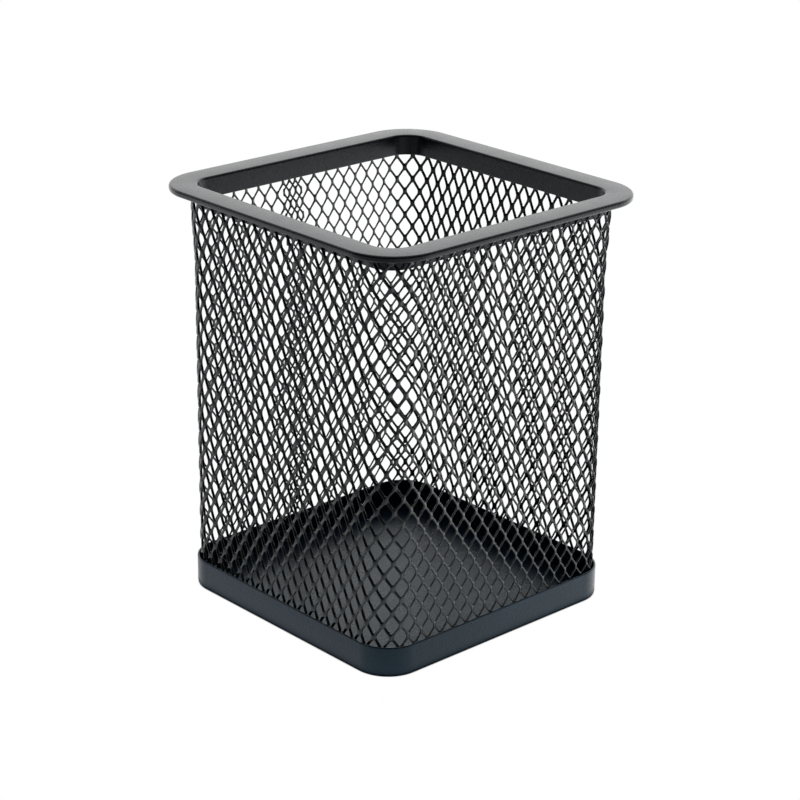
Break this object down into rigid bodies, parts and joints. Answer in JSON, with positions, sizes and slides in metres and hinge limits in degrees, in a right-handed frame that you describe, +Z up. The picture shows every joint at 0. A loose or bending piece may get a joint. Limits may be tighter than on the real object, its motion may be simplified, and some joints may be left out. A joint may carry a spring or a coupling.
{
  "type": "pen holder cup",
  "caption": "Square rounded-corner pen holder: expanded-metal sleeve on a pressed base tray, with a flat flanged rim round its open top.",
  "frame": {"origin": "centre of the base tray's underside, on the surface the cup stands on", "axes": "+Z up through the open mouth, X and Y square to the four walls, and the sleeve's lap seam in the +Y wall"},
  "size_m": [0.082, 0.082, 0.1],
  "materials": {
    "rim_coat": "black satin powder coat, fine orange peel",
    "mesh_coat": "black satin powder coat on expanded steel",
    "tray_coat": "black satin powder coat, fine orange peel"
  },
  "bodies": {
    "root": {"top_rim": "rim_coat", "mesh_sleeve": "mesh_coat", "base_tray": "tray_coat"}
  },
  "joints": []
}
